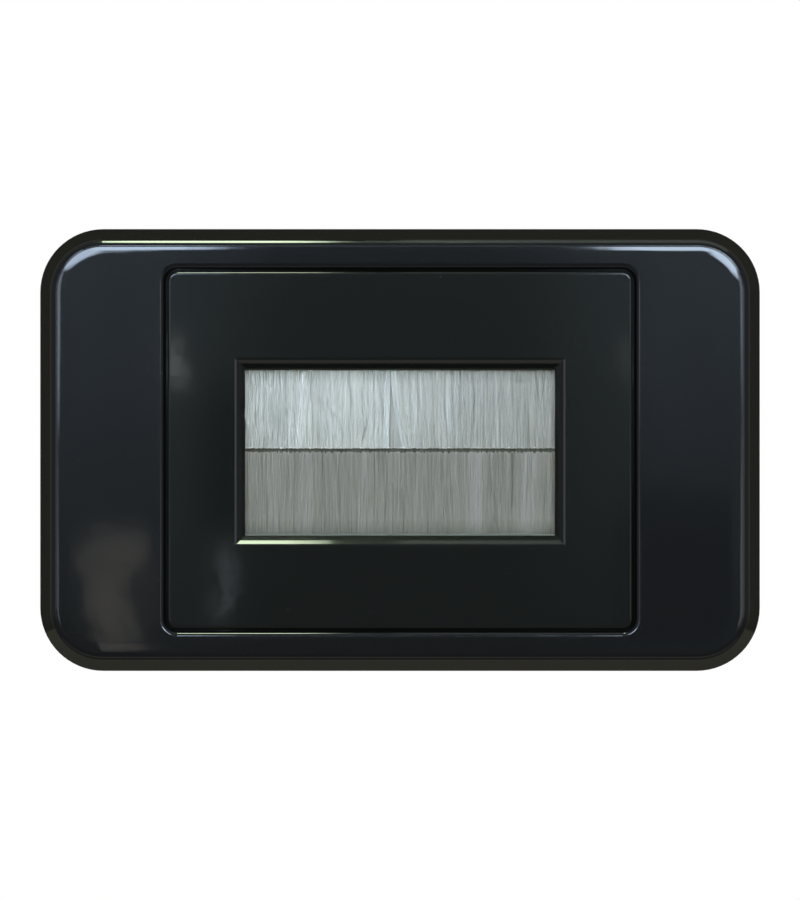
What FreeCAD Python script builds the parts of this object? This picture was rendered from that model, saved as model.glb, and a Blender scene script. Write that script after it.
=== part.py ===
import FreeCAD, Part
import math
import os
import Sketcher

# Cable wall plate: a clip-on cover over a mounting grid, with two strip brushes clamped behind a window.
# Frame: X runs across the plate, Z runs up, the front faces -Y and the wall is the plane Y = 0.
# A height is a distance from the wall towards the front. All sizes are in millimetres.

SIZES = {
    # cover
    "plate_width": 114.0,
    "plate_height": 70.0,
    "plate_corner": 10.0,
    "plate_depth": 9.0,
    "rim_slope": 2.0,
    "crest_round": 1.2,
    "face_wall": 1.8,
    "side_wall": 1.8,
    "opening_round": 0.9,
    "skirt_wall": 1.0,
    "rib_wall": 1.0,
    "rib_spacing": 36.0,
    "rib_drop": 3.6,
    # grid with its raised panel
    "side_border": 20.35,
    "top_border": 6.87,
    "groove": 0.45,
    "panel_corner": 1.5,
    "panel_round": 0.4,
    "panel_wall": 2.2,
    "box_wall": 1.8,
    "flange_thickness": 2.0,
    "flange_clearance": 0.3,
    "screw_spacing": 84.0,
    "slot_width": 4.0,
    "slot_length": 8.0,
    # window
    "window_width": 48.9,
    "window_height": 26.4,
    "window_drop": 0.3,
    "window_slope": 0.77,
    "window_bevel": 0.7,
    "bevel_depth": 0.5,
    "window_edge": 0.18,
    # clips that hold the cover on the flange
    "hook_spacing": 60.0,
    "hook_width": 8.0,
    "hook_reach": 0.9,
    "lip_thickness": 0.85,
    "hook_clearance": 0.1,
    "notch_clearance": 0.35,
    # strip brushes
    "channel_depth": 4.0,
    "channel_height": 4.4,
    "channel_wall": 0.5,
    "channel_mouth": 2.2,
    "channel_lip": 1.5,
    "channel_round": 0.8,
    "lip_show": 0.25,
    "strip_clearance": 0.2,
    "wire_diameter": 1.2,
    "fold_thickness": 0.7,
    "bristle_fit": 0.05,
    "tip_opening": 0.3,
    "tuft_pitch": 2.0,
    "tuft_slit": 0.15,
    "tuft_lean": 0.6,
    # seat, clamp bars and screws
    "seat_wall": 1.2,
    "clamp_width": 5.0,
    "clamp_thickness": 1.6,
    "clamp_setback": 0.3,
    "clamp_clearance": 1.0,
    "clamp_clip": 1.2,
    "boss_width": 4.4,
    "shank_diameter": 1.8,
    "shank_fit": 0.02,
    "shank_clearance": 0.3,
    "pilot_depth": 3.5,
    "tip_clearance": 0.3,
    "head_diameter": 4.2,
    "head_height": 1.2,
    "recess_length": 2.4,
    "recess_width": 0.55,
    "recess_depth": 0.7,
}

# Point numbers that sketches use, and the shape number of a sketch's origin
START, END, CENTRE = range(1, 4)
ROOT = -START

doc = FreeCAD.newDocument("brush_wall_plate")
sheet = doc.addObject("Spreadsheet::Sheet", "Sizes")
for row, (alias, number) in enumerate(SIZES.items(), start=1):
    sheet.set(f"A{row}", alias)
    sheet.set(f"B{row}", str(number))
    sheet.setAlias(f"B{row}", alias)
doc.recompute()


class Size:
    """A length that carries its spreadsheet formula and its present value."""

    def __init__(self, formula, value):
        self.formula = formula
        self.value = value

    def joined(self, sign, other, value):
        return Size(f"({self.formula} {sign} {other.formula})", value)

    def __add__(self, other):
        other = as_size(other)
        return self.joined("+", other, self.value + other.value)

    def __sub__(self, other):
        other = as_size(other)
        return self.joined("-", other, self.value - other.value)

    def __mul__(self, other):
        other = as_size(other)
        return self.joined("*", other, self.value * other.value)

    def __truediv__(self, other):
        other = as_size(other)
        return self.joined("/", other, self.value / other.value)

    def __neg__(self):
        return Size(f"(0 - {self.formula})", -self.value)


def as_size(thing):
    return thing if isinstance(thing, Size) else Size(str(thing), float(thing))


def named(alias):
    return Size(f"Sizes.{alias}", float(sheet.get(alias)))


def whole(size):
    return Size(f"floor({size.formula})", int(size.value))


def bind(thing, place, size):
    thing.setExpression(place, as_size(size).formula)


# Sketch helpers

def origin_part(body, role):
    return next(part for part in body.Origin.OriginFeatures if part.Role == role)


def add_sketch(body, name, plane, offset=None):
    sketch = body.newObject("Sketcher::SketchObject", name)
    sketch.AttachmentSupport = [(origin_part(body, plane), "")]
    sketch.MapMode = "FlatFace"
    if offset is not None:
        bind(sketch, "AttachmentOffset.Base.z", offset)
    return sketch


def hold(sketch, kind, where, size):
    """Adds a dimension and binds it to its formula."""
    index = sketch.addConstraint(Sketcher.Constraint(kind, *where, size.value))
    bind(sketch, f"Constraints[{index}]", size)


def join(sketch, kind, *where):
    sketch.addConstraint(Sketcher.Constraint(kind, *where))


def hold_point(sketch, shape, point, x, y):
    hold(sketch, "DistanceX", (ROOT, START, shape, point), x)
    hold(sketch, "DistanceY", (ROOT, START, shape, point), y)


def draw_polygon(sketch, points):
    """Draws a closed outline through points that are each held from the sketch's origin."""
    count = len(points)
    first = sketch.GeometryCount
    spots = [FreeCAD.Vector(x.value, y.value, 0) for x, y in points]
    for index in range(count):
        sketch.addGeometry(Part.LineSegment(spots[index], spots[(index + 1) % count]), False)
    for index in range(count):
        join(sketch, "Coincident", first + index, END, first + (index + 1) % count, START)
    for index, (x, y) in enumerate(points):
        hold_point(sketch, first + index, START, x, y)


def draw_box(sketch, left, right, bottom, top):
    draw_polygon(sketch, [(left, bottom), (right, bottom), (right, top), (left, top)])


def draw_circle(sketch, x, y, diameter):
    centre = FreeCAD.Vector(x.value, y.value, 0)
    index = sketch.addGeometry(Part.Circle(centre, FreeCAD.Vector(0, 0, 1), diameter.value / 2), False)
    hold_point(sketch, index, CENTRE, x, y)
    hold(sketch, "Diameter", (index,), diameter)


def draw_rounded(sketch, left, right, bottom, top, radius):
    """Draws a rectangle with four equal round corners."""
    corners = [(right - radius, top - radius), (left + radius, top - radius)]
    corners += [(left + radius, bottom + radius), (right - radius, bottom + radius)]
    arcs = []
    for turn, (x, y) in enumerate(corners):
        ring = Part.Circle(FreeCAD.Vector(x.value, y.value, 0), FreeCAD.Vector(0, 0, 1), radius.value)
        begin = turn * math.pi / 2
        arcs.append(sketch.addGeometry(Part.ArcOfCircle(ring, begin, begin + math.pi / 2), False))
    lines = []
    for turn in range(4):
        leave = sketch.getPoint(arcs[turn], END)
        reach = sketch.getPoint(arcs[(turn + 1) % 4], START)
        lines.append(sketch.addGeometry(Part.LineSegment(leave, reach), False))
    for turn in range(4):
        join(sketch, "Tangent", arcs[turn], END, lines[turn], START)
        join(sketch, "Tangent", lines[turn], END, arcs[(turn + 1) % 4], START)
        join(sketch, "Vertical" if turn % 2 else "Horizontal", lines[turn])
    for turn in range(1, 4):
        join(sketch, "Equal", arcs[0], arcs[turn])
    hold(sketch, "Radius", (arcs[0],), radius)
    hold(sketch, "DistanceY", (ROOT, START, lines[0], START), top)
    hold(sketch, "DistanceX", (ROOT, START, lines[1], START), left)
    hold(sketch, "DistanceY", (ROOT, START, lines[2], START), bottom)
    hold(sketch, "DistanceX", (ROOT, START, lines[3], START), right)


def draw_slot(sketch, x, y, length, width):
    """Draws a slot with round ends that runs along the sketch's first axis."""
    half = (length - width) / 2
    ends = [(x + half, -math.pi / 2), (x - half, math.pi / 2)]
    arcs = []
    for middle, begin in ends:
        ring = Part.Circle(FreeCAD.Vector(middle.value, y.value, 0), FreeCAD.Vector(0, 0, 1), width.value / 2)
        arcs.append(sketch.addGeometry(Part.ArcOfCircle(ring, begin, begin + math.pi), False))
    lines = []
    for turn in range(2):
        leave = sketch.getPoint(arcs[turn], END)
        reach = sketch.getPoint(arcs[1 - turn], START)
        lines.append(sketch.addGeometry(Part.LineSegment(leave, reach), False))
    for turn in range(2):
        join(sketch, "Tangent", arcs[turn], END, lines[turn], START)
        join(sketch, "Tangent", lines[turn], END, arcs[1 - turn], START)
    join(sketch, "Horizontal", lines[0])
    hold(sketch, "Radius", (arcs[0],), width / 2)
    hold(sketch, "DistanceX", (ROOT, START, arcs[0], CENTRE), x + half)
    hold(sketch, "DistanceX", (ROOT, START, arcs[1], CENTRE), x - half)
    if y.value:
        hold(sketch, "DistanceY", (ROOT, START, arcs[0], CENTRE), y)
    else:
        join(sketch, "PointOnObject", arcs[0], CENTRE, ROOT)


# Feature helpers

def settle(body, feature, sign):
    """Recomputes and makes sure that the feature added or took away material as it should."""
    before = feature.BaseFeature.Shape.Volume if feature.BaseFeature else 0.0
    body.Tip = feature
    doc.recompute()
    change = (feature.Shape.Volume - before) * sign
    if "Invalid" in feature.State or change < 1e-4:
        raise RuntimeError(f"{body.Label}: {feature.Name} did nothing useful, {feature.State}, {change:.4f}")
    return feature


def pad(body, name, sketch, length, both=False):
    feature = body.newObject("PartDesign::Pad", name)
    feature.Profile = sketch
    if both:
        feature.SideType = "Symmetric"
    bind(feature, "Length", length)
    return settle(body, feature, 1)


def cut(body, name, sketch, length=None):
    """Cuts along the sketch's normal, which is from the back towards the front."""
    feature = body.newObject("PartDesign::Pocket", name)
    feature.Profile = sketch
    feature.Reversed = True
    if length is None:
        feature.Type = "ThroughAll"
    else:
        bind(feature, "Length", length)
    return settle(body, feature, -1)


def loft(body, name, first, second, sign):
    kind = "PartDesign::AdditiveLoft" if sign > 0 else "PartDesign::SubtractiveLoft"
    feature = body.newObject(kind, name)
    feature.Profile = first
    feature.Sections = [second]
    feature.Ruled = True
    return settle(body, feature, sign)


def mirrored(body, name, original, plane, sign):
    feature = body.newObject("PartDesign::Mirrored", name)
    feature.Originals = [original]
    feature.MirrorPlane = (origin_part(body, plane), [""])
    return settle(body, feature, sign)


def edges_where(feature, test):
    """Names the edges whose middle passes the test."""
    names = []
    for index, edge in enumerate(feature.Shape.Edges, start=1):
        middle = edge.valueAt((edge.FirstParameter + edge.LastParameter) / 2)
        if test(middle):
            names.append(f"Edge{index}")
    return names


def rounded_over(body, name, test, radius):
    feature = body.newObject("PartDesign::Fillet", name)
    base = feature.BaseFeature
    feature.Base = (base, edges_where(base, test))
    bind(feature, "Radius", radius)
    return settle(body, feature, -1)


def bevelled(body, name, test, size):
    feature = body.newObject("PartDesign::Chamfer", name)
    base = feature.BaseFeature
    feature.Base = (base, edges_where(base, test))
    bind(feature, "Size", size)
    return settle(body, feature, -1)


def near(first, second):
    return abs(first - second) < 1e-4


def new_body(label):
    body = doc.addObject("PartDesign::Body", label)
    body.Label = label
    return body


# Shared places, all built from the named sizes

NIL = Size("0", 0.0)
DEPTH = named("plate_depth")
HALF_WIDE = named("plate_width") / 2
HALF_TALL = named("plate_height") / 2
SLOPE = named("rim_slope") / DEPTH
GROOVE = named("groove")
PANEL_WIDE = HALF_WIDE - named("side_border")
PANEL_TALL = HALF_TALL - named("top_border")
UNDERSIDE = DEPTH - named("panel_wall")
FLANGE = named("flange_thickness")
FLANGE_INSET = named("side_wall") + named("flange_clearance") + FLANGE * SLOPE
FLANGE_WIDE = HALF_WIDE - FLANGE_INSET
FLANGE_TALL = HALF_TALL - FLANGE_INSET
DROP = named("window_drop")
WINDOW_WIDE = named("window_width") / 2
WINDOW_TALL = named("window_height") / 2
HOOK_X = named("hook_spacing") / 2
NOTCH_DEPTH = FLANGE - named("lip_thickness")

# The strips lie against the panel's underside and the clamp bars lie against the strips.
STRIP_BACK = UNDERSIDE - named("channel_depth")
STRIP_MIDDLE = UNDERSIDE - named("channel_depth") / 2
BAR_BACK = STRIP_BACK - named("clamp_thickness")
MOUTH = WINDOW_TALL - named("lip_show")
BAR_MIDDLE = MOUTH + named("clamp_setback") + named("clamp_width") / 2
BOSS_X = PANEL_WIDE - named("box_wall") - named("clamp_clearance") - named("clamp_width") / 2
SEAT_WIDE = BOSS_X - named("boss_width") / 2 - named("seat_wall") / 2
SEAT_TALL = MOUTH + named("channel_height") + named("strip_clearance")
STRIP_HALF = SEAT_WIDE - named("strip_clearance")
STRIP_LENGTH = STRIP_HALF * 2


def add_cover():
    body = new_body("cover_plate")
    depth = DEPTH.value
    inner_height = DEPTH - named("face_wall")

    def outline(name, height, inset):
        sketch = add_sketch(body, name, "XZ_Plane", height)
        back_in = SLOPE * height + inset
        wide = HALF_WIDE - back_in
        tall = HALF_TALL - back_in
        draw_rounded(sketch, -wide, wide, -tall, tall, named("plate_corner") - back_in)
        return sketch

    # sloped block, rolled over at the front edge, then hollowed from behind
    loft(body, "cover_block", outline("cover_foot", NIL, NIL), outline("cover_front", DEPTH, NIL), 1)
    rounded_over(body, "cover_crest", lambda spot: near(spot.y, -depth), named("crest_round"))
    wall = named("side_wall")
    loft(body, "cover_hollow", outline("hollow_foot", NIL, wall), outline("hollow_top", inner_height, wall), -1)

    # skirt that stands on the flange, with the opening for the panel through it
    wide = PANEL_WIDE + GROOVE
    tall = PANEL_TALL + GROOVE
    corner = named("panel_corner") + GROOVE
    skirt = named("skirt_wall")
    sketch = add_sketch(body, "skirt_outline", "XZ_Plane", FLANGE)
    draw_rounded(sketch, -wide - skirt, wide + skirt, -tall - skirt, tall + skirt, corner + skirt)
    pad(body, "skirt", sketch, inner_height - FLANGE)

    # ribs between the skirt and the side walls
    rib = named("rib_wall") / 2
    rib_end = HALF_WIDE - SLOPE * inner_height - wall / 2
    sketch = add_sketch(body, "rib_outline", "XZ_Plane", inner_height - named("rib_drop"))
    for level in (named("rib_spacing") / 2, -named("rib_spacing") / 2):
        draw_box(sketch, wide + skirt / 2, rib_end, level - rib, level + rib)
    ribs = pad(body, "ribs", sketch, named("rib_drop"))
    mirrored(body, "ribs_left", ribs, "YZ_Plane", 1)

    sketch = add_sketch(body, "opening_outline", "XZ_Plane")
    draw_rounded(sketch, -wide, wide, -tall, tall, corner)
    cut(body, "opening", sketch)
    inside = wide.value + 0.01
    rounded_over(
        body,
        "opening_roll",
        lambda spot: near(spot.y, -depth) and abs(spot.x) < inside and abs(spot.z) < tall.value + 0.01,
        named("opening_round"),
    )

    # clip hooks on the long walls, each with a flat catch and a sloped lead-in
    catch = NOTCH_DEPTH - named("hook_clearance")
    tip = FLANGE_TALL - named("hook_reach")
    root = HALF_TALL - wall / 2
    sketch = add_sketch(body, "hook_outline", "YZ_Plane", HOOK_X - named("hook_width") / 2)
    for side in (1, -1):
        draw_polygon(
            sketch,
            [
                (-catch, root * side),
                (-catch, tip * side),
                (-catch / 2, tip * side),
                (-catch / 10, root * side),
            ],
        )
    hooks = pad(body, "hooks", sketch, named("hook_width"))
    mirrored(body, "hooks_left", hooks, "YZ_Plane", 1)
    return body


def add_grid():
    body = new_body("grid_plate")
    depth = DEPTH.value

    # flange against the wall and the raised panel box
    sketch = add_sketch(body, "flange_outline", "XZ_Plane")
    corner = named("plate_corner") - FLANGE_INSET
    draw_rounded(sketch, -FLANGE_WIDE, FLANGE_WIDE, -FLANGE_TALL, FLANGE_TALL, corner)
    pad(body, "flange", sketch, FLANGE)
    sketch = add_sketch(body, "panel_outline", "XZ_Plane")
    draw_rounded(sketch, -PANEL_WIDE, PANEL_WIDE, -PANEL_TALL, PANEL_TALL, named("panel_corner"))
    pad(body, "panel", sketch, DEPTH)
    rounded_over(body, "panel_edge", lambda spot: near(spot.y, -depth), named("panel_round"))
    sketch = add_sketch(body, "box_inside", "XZ_Plane")
    wide = PANEL_WIDE - named("box_wall")
    tall = PANEL_TALL - named("box_wall")
    draw_box(sketch, -wide, wide, -tall, tall)
    cut(body, "box_hollow", sketch, UNDERSIDE)

    # frame that the two strips lie in, with a screw boss by each corner
    seat = named("seat_wall")
    sketch = add_sketch(body, "seat_outline", "XZ_Plane", STRIP_BACK)
    for grow in (seat, NIL):
        draw_box(sketch, -SEAT_WIDE - grow, SEAT_WIDE + grow, -DROP - SEAT_TALL - grow, SEAT_TALL + grow - DROP)
    pad(body, "seat_frame", sketch, named("channel_depth"))
    spots = [(BOSS_X * across, BAR_MIDDLE * up - DROP) for across in (1, -1) for up in (1, -1)]
    boss = named("boss_width") / 2
    sketch = add_sketch(body, "boss_outline", "XZ_Plane", STRIP_BACK)
    for x, z in spots:
        draw_box(sketch, x - boss, x + boss, z - boss, z + boss)
    pad(body, "bosses", sketch, named("channel_depth"))
    sketch = add_sketch(body, "pilot_outline", "XZ_Plane", STRIP_BACK)
    for x, z in spots:
        draw_circle(sketch, x, z, named("shank_diameter") + named("shank_fit") * 2)
    cut(body, "pilot_holes", sketch, named("pilot_depth"))

    # stiffening ribs from the frame to the long walls of the box
    rib = named("rib_wall") / 2
    level = SEAT_TALL + seat / 2
    sketch = add_sketch(body, "stiffener_outline", "XZ_Plane", UNDERSIDE - named("rib_drop"))
    for across in (1, -1):
        x = named("rib_spacing") / 2 * across
        draw_box(sketch, x - rib, x + rib, level - DROP, tall + named("box_wall") / 2)
        draw_box(sketch, x - rib, x + rib, -tall - named("box_wall") / 2, -DROP - level)
    pad(body, "stiffeners", sketch, named("rib_drop"))

    # window with a straight throat, sloped sides and a bevelled front
    def window(name, height, grow):
        outline = add_sketch(body, name, "XZ_Plane", height)
        wide = WINDOW_WIDE + grow
        tall = WINDOW_TALL + grow
        draw_box(outline, -wide, wide, -DROP - tall, tall - DROP)
        return outline

    cut(body, "window", window("window_back", UNDERSIDE, NIL))
    limit = WINDOW_WIDE.value + 0.01
    bevelled(
        body,
        "window_slope",
        lambda spot: near(spot.y, -depth) and abs(spot.x) < limit and abs(spot.z) < limit,
        named("window_slope") + named("bevel_depth"),
    )

    bevel_back = window("bevel_back", DEPTH - named("bevel_depth"), named("window_slope"))
    bevel_front = window("bevel_front", DEPTH, named("window_slope") + named("window_bevel"))
    loft(body, "window_bevel", bevel_back, bevel_front, -1)
    limit += (named("window_slope") + named("window_bevel")).value
    bevelled(
        body,
        "window_edge",
        lambda spot: near(spot.y, -depth) and abs(spot.x) < limit and abs(spot.z) < limit,
        named("window_edge"),
    )

    # slots for the wall screws
    sketch = add_sketch(body, "slot_outline", "XZ_Plane")
    for across in (1, -1):
        draw_slot(sketch, named("screw_spacing") / 2 * across, NIL, named("slot_length"), named("slot_width"))
    cut(body, "wall_slots", sketch, FLANGE)

    # notches in the back of the flange that leave a lip for the cover's hooks
    half = named("hook_width") / 2 + named("notch_clearance")
    inner = FLANGE_TALL - named("hook_reach") - named("notch_clearance")
    outer = FLANGE_TALL + named("side_wall")
    sketch = add_sketch(body, "notch_outline", "XZ_Plane")
    for across in (1, -1):
        x = HOOK_X * across
        draw_box(sketch, x - half, x + half, inner, outer)
        draw_box(sketch, x - half, x + half, -outer, -inner)
    cut(body, "hook_notches", sketch, NOTCH_DEPTH)
    return body


def strip_points(side, pairs):
    """Turns offsets from the strip's middle and distances behind its mouth into sketch points."""
    return [(offset - STRIP_MIDDLE, (MOUTH + behind) * side - DROP) for offset, behind in pairs]


def add_channel(label, side):
    """Crimped channel: a square back, straight sides and lips that close in on the bristles."""
    body = new_body(label)
    wall = named("channel_wall")
    outer = named("channel_depth") / 2
    inner = outer - wall
    mouth = named("channel_mouth") / 2
    lip = named("channel_lip")
    back = named("channel_height")
    right = [(mouth, NIL), (mouth + wall, NIL), (outer, lip), (outer, back)]
    inside = [(inner, back - wall), (inner, lip)]
    outline = right + [(-outer, back), (-outer, lip), (-mouth - wall, NIL), (-mouth, NIL)]
    outline += [(-inner, lip), (-inner, back - wall)] + inside
    sketch = add_sketch(body, f"{label}_section", "YZ_Plane")
    draw_polygon(sketch, strip_points(side, outline))
    pad(body, f"{label}_run", sketch, STRIP_LENGTH, both=True)
    level = ((MOUTH + back) * side - DROP).value
    rounded_over(
        body,
        f"{label}_bend",
        lambda spot: near(spot.z, level) and near(spot.x, 0),
        named("channel_round"),
    )
    return body


def add_wire(label, side):
    wire = doc.addObject("Part::Cylinder", label)
    wire.Label = label
    wire.Placement = FreeCAD.Placement(FreeCAD.Vector(), FreeCAD.Rotation(FreeCAD.Vector(0, 1, 0), 90))
    bind(wire, "Radius", named("wire_diameter") / 2)
    bind(wire, "Height", STRIP_LENGTH)
    bind(wire, "Placement.Base.x", -STRIP_HALF)
    bind(wire, "Placement.Base.y", -STRIP_MIDDLE)
    bind(wire, "Placement.Base.z", (MOUTH + WIRE_BEHIND) * side - DROP)
    return wire


WIRE_BEHIND = (
    named("channel_height")
    - named("channel_wall")
    - named("bristle_fit")
    - named("fold_thickness")
    - named("wire_diameter") / 2
)


def add_bristles(label, side):
    """Bristles folded round the wire, which come out of the mouth as a row of tufts."""
    body = new_body(label)
    fit = named("bristle_fit")
    inner = named("channel_depth") / 2 - named("channel_wall") - fit
    mouth = named("channel_mouth") / 2 - fit
    lip = named("channel_lip")
    back = named("channel_height") - named("channel_wall") - fit
    outline = [(mouth, -lip / 4), (mouth, NIL), (inner, lip), (inner, back)]
    outline += [(-inner, back), (-inner, lip), (-mouth, NIL), (-mouth, -lip / 4)]
    sketch = add_sketch(body, f"{label}_section", "YZ_Plane")
    draw_polygon(sketch, strip_points(side, outline))
    hole = strip_points(side, [(NIL, WIRE_BEHIND)])[0]
    draw_circle(sketch, hole[0], hole[1], named("wire_diameter") + fit * 2)
    pad(body, f"{label}_fold", sketch, STRIP_LENGTH, both=True)

    # one six-sided tuft that leans a little to the front, repeated along the strip
    start = MOUTH * side - DROP
    end = named("tip_opening") / 2 * side
    count = whole(STRIP_LENGTH / named("tuft_pitch"))
    step = STRIP_LENGTH / count
    wide = step / 2 - named("tuft_slit") / 2
    deep = mouth - fit / 2
    middle = step / 2 - STRIP_HALF
    outline = [(wide, NIL), (wide / 2, deep), (-wide / 2, deep)]
    outline += [(-x, -y) for x, y in outline]
    sketch = add_sketch(body, f"{label}_tuft_section", "XY_Plane", start)
    draw_polygon(sketch, [(middle + x, y - STRIP_MIDDLE) for x, y in outline])
    tuft = body.newObject("PartDesign::Pad", f"{label}_tuft")
    tuft.Profile = sketch
    tuft.UseCustomVector = True
    tuft.Direction = FreeCAD.Vector(0, -1, -side)
    bind(tuft, "Direction.y", -named("tuft_lean"))
    bind(tuft, "Direction.z", end - start)
    bind(tuft, "Length", (start - end) * side)
    settle(body, tuft, 1)
    tufts = body.newObject("PartDesign::LinearPattern", f"{label}_tufts")
    tufts.Originals = [tuft]
    tufts.Direction = (origin_part(body, "X_Axis"), [""])
    bind(tufts, "Occurrences", count)
    bind(tufts, "Length", STRIP_LENGTH - step)
    settle(body, tufts, 1)
    return body


def add_bar(label, side):
    """Flat bar with clipped corners that is screwed down over a strip."""
    body = new_body(label)
    level = BAR_MIDDLE * side - DROP
    wide = BOSS_X + named("clamp_width") / 2
    tall = named("clamp_width") / 2
    clip = named("clamp_clip")
    corners = [(wide - clip, -tall), (wide, clip - tall), (wide, tall - clip), (wide - clip, tall)]
    corners += [(clip - wide, tall), (-wide, tall - clip), (-wide, clip - tall), (clip - wide, -tall)]
    sketch = add_sketch(body, f"{label}_outline", "XZ_Plane", BAR_BACK)
    draw_polygon(sketch, [(x, level + z) for x, z in corners])
    for across in (1, -1):
        draw_circle(sketch, BOSS_X * across, level, named("shank_diameter") + named("shank_clearance") * 2)
    pad(body, f"{label}_run", sketch, named("clamp_thickness"))
    return body


def add_screw(name, across, up):
    """Pan-head screw with a cross recess, turned about its own axis and then put in its place."""
    body = new_body(name)
    head = named("head_diameter") / 2
    shank = named("shank_diameter") / 2
    bearing = -BAR_BACK
    top = bearing + named("head_height")
    end = bearing - named("clamp_thickness") - named("pilot_depth") + named("tip_clearance")
    sketch = add_sketch(body, f"{name}_section", "XY_Plane")
    outline = [(NIL, end), (shank, end), (shank, bearing), (head, bearing)]
    outline += [(head * 0.7, top), (NIL, top)]
    draw_polygon(sketch, outline)
    turned = body.newObject("PartDesign::Revolution", f"{name}_turned")
    turned.Profile = sketch
    turned.ReferenceAxis = (sketch, ["V_Axis"])
    turned.Angle = 360
    settle(body, turned, 1)
    reach = named("recess_length") / 2
    arm = named("recess_width") / 2
    sketch = add_sketch(body, f"{name}_recess_outline", "XZ_Plane", -top)
    cross = [(reach, -arm), (reach, arm), (arm, arm), (arm, reach), (-arm, reach), (-arm, arm)]
    cross += [(-reach, arm), (-reach, -arm), (-arm, -arm), (-arm, -reach), (arm, -reach), (arm, -arm)]
    draw_polygon(sketch, cross)
    cut(body, f"{name}_recess", sketch, named("recess_depth"))
    bind(body, "Placement.Base.x", BOSS_X * across)
    bind(body, "Placement.Base.z", BAR_MIDDLE * up - DROP)
    return body


nodes = [add_cover(), add_grid()]
for word, side in (("upper", 1), ("lower", -1)):
    nodes.append(add_channel(f"{word}_brush_channel", side))
    nodes.append(add_wire(f"{word}_core_wire", side))
    nodes.append(add_bristles(f"{word}_bristles", side))
    nodes.append(add_bar(f"{word}_clamp_bar", side))
screws = doc.addObject("Part::Compound", "clamp_screws")
screws.Label = "clamp_screws"
screws.Links = [
    add_screw("screw_upper_right", 1, 1),
    add_screw("screw_upper_left", -1, 1),
    add_screw("screw_lower_right", 1, -1),
    add_screw("screw_lower_left", -1, -1),
]
nodes.append(screws)
doc.recompute()

for thing in doc.Objects:
    if "Invalid" in thing.State or "Error" in thing.State:
        raise RuntimeError(f"{thing.Name} failed: {thing.State}")
for node in nodes:
    if node.Shape.isNull() or not node.Shape.isValid() or node.Shape.Volume <= 0:
        raise RuntimeError(f"{node.Label} has no sound shape")

os.makedirs("parts", exist_ok=True)
for node in nodes:
    node.Shape.exportStep(f"parts/{node.Label}.step")
    print(f"{node.Label}: {len(node.Shape.Solids)} solid, {node.Shape.Volume:.1f} mm3")
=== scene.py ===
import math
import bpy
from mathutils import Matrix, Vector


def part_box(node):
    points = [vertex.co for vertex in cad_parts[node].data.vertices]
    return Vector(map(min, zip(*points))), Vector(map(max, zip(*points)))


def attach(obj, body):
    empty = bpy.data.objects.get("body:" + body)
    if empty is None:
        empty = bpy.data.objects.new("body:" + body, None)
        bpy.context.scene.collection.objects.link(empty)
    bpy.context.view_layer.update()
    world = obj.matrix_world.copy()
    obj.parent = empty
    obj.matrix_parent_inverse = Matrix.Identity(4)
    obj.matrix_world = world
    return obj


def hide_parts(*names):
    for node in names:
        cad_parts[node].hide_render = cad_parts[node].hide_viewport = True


bl_info = {
    "name": "Brush cable wall plate",
    "version": (1, 0, 0),
    "blender": (4, 5, 0),
    "location": "View3D > Sidebar > Wall plate",
    "description": "Gives the packed wall plate its finishes, bristles, screws and studio",
    "category": "Object",
}

import bmesh
import bpy
from mathutils import Vector

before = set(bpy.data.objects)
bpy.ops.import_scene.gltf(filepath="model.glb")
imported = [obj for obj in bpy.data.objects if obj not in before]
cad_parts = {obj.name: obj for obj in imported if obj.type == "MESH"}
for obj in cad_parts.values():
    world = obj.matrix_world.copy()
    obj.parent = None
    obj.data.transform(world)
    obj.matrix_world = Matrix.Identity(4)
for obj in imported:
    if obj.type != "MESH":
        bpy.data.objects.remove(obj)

MM = 0.001
# kinds of node that recur
MATHS = "ShaderNodeMath"
VECTORS = "ShaderNodeVectorMath"
RANGE = "ShaderNodeMapRange"
NOISE = "ShaderNodeTexNoise"
MIX = "ShaderNodeMix"
BUMP = "ShaderNodeBump"
AXES = "ShaderNodeSeparateXYZ"
MAPPING = "ShaderNodeMapping"
PRINCIPLED = "ShaderNodeBsdfPrincipled"
RANDOM = "FunctionNodeRandomValue"
FLOAT = "NodeSocketFloat"
# how strongly the two plastics bend light
ABS_IOR = 1.54
NYLON_IOR = 1.53
# the cover's corners, and the stretch over which its face rolls off, measured in from the outline
PLATE_CORNER = 10 * MM
ROLL_STARTS = 4.8 * MM
ROLL_ENDS = 2.8 * MM
# shares of a row's depth, from the front: how much of it strays, and what lies behind the split
LOOSE_LAYERS = 0.6
FRONT_LAYERS = 0.7
# steps of this share of the depth fill every layer evenly
GOLDEN = 0.6180339
# the filaments' roots lie this far inside the mouth of a channel
ROOT_DEPTH = 1.2 * MM
SCREW_SHANK = 0.9 * MM
SENSOR = 36.0


def linear(code):
    """Linear colour with alpha from an sRGB hex value."""
    parts = [int(code[start : start + 2], 16) / 255 for start in (1, 3, 5)]
    return (*[p / 12.92 if p <= 0.04045 else ((p + 0.055) / 1.055) ** 2.4 for p in parts], 1.0)


def colour(name, description, code):
    shade = linear(code)
    return bpy.props.FloatVectorProperty(
        name=name, description=description, subtype="COLOR", size=4, min=0, max=1, default=shade
    )


def length(name, description, millimetres):
    return bpy.props.FloatProperty(
        name=name,
        description=description,
        subtype="DISTANCE",
        unit="LENGTH",
        precision=5,
        default=millimetres * MM,
    )


def share(name, description, default):
    return bpy.props.FloatProperty(
        name=name, description=description, subtype="FACTOR", min=0.0, max=1.0, default=default
    )


# Sizes and colours that a user would change


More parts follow.
